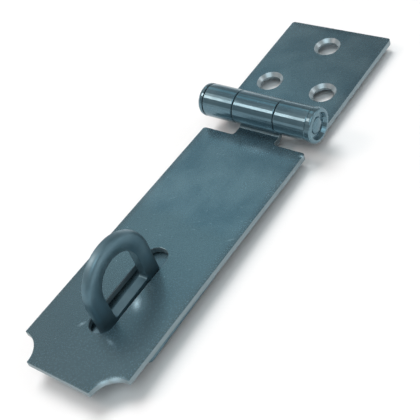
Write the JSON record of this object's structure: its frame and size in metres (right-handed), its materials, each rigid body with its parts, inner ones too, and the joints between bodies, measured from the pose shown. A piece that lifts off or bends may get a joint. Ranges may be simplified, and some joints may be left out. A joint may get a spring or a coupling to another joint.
{
  "type": "hasp and staple",
  "caption": "Flat steel hasp: countersunk hinge leaf, rolled knuckle hinge with headed pin, long slotted strap, and a separate staple plate whose D-shaped eye takes the padlock.",
  "frame": {"origin": "middle of the closed hasp in plan, on the mounting surface that the leaf and the staple plate are screwed to", "axes": "+Y along the hasp from the strap's free end to the hinge leaf, +Z away from the mounting surface, +X along the hinge pin towards its riveted head"},
  "size_m": [0.042, 0.1514, 0.025],
  "materials": {
    "leaf_zinc": "bright zinc plate with a blue passivate, semi-gloss",
    "strap_zinc": "bright zinc plate with a blue passivate, semi-gloss, lightly scratched",
    "pin_zinc": "bright zinc plate, gloss",
    "plate_zinc": "bright zinc plate with a blue passivate, semi-gloss",
    "eye_zinc": "bright zinc plate, gloss"
  },
  "bodies": {
    "leaf": {"hinge_leaf": "leaf_zinc", "hinge_pin": "pin_zinc"},
    "strap": {"hasp_strap": "strap_zinc"},
    "staple": {"staple_plate": "plate_zinc", "staple_eye": "eye_zinc"}
  },
  "joints": [
    {"name": "strap_hinge", "type": "hinge", "parent": "leaf", "child": "strap", "pos_m": [0, 0.02704, 0.0078], "axis": [-1, 0, 0], "range_deg": [0, 180]},
    {"name": "staple_withdrawal", "type": "slide", "parent": "leaf", "child": "staple", "axis": [0, 0, -1], "range_m": [0, 0.03]}
  ]
}
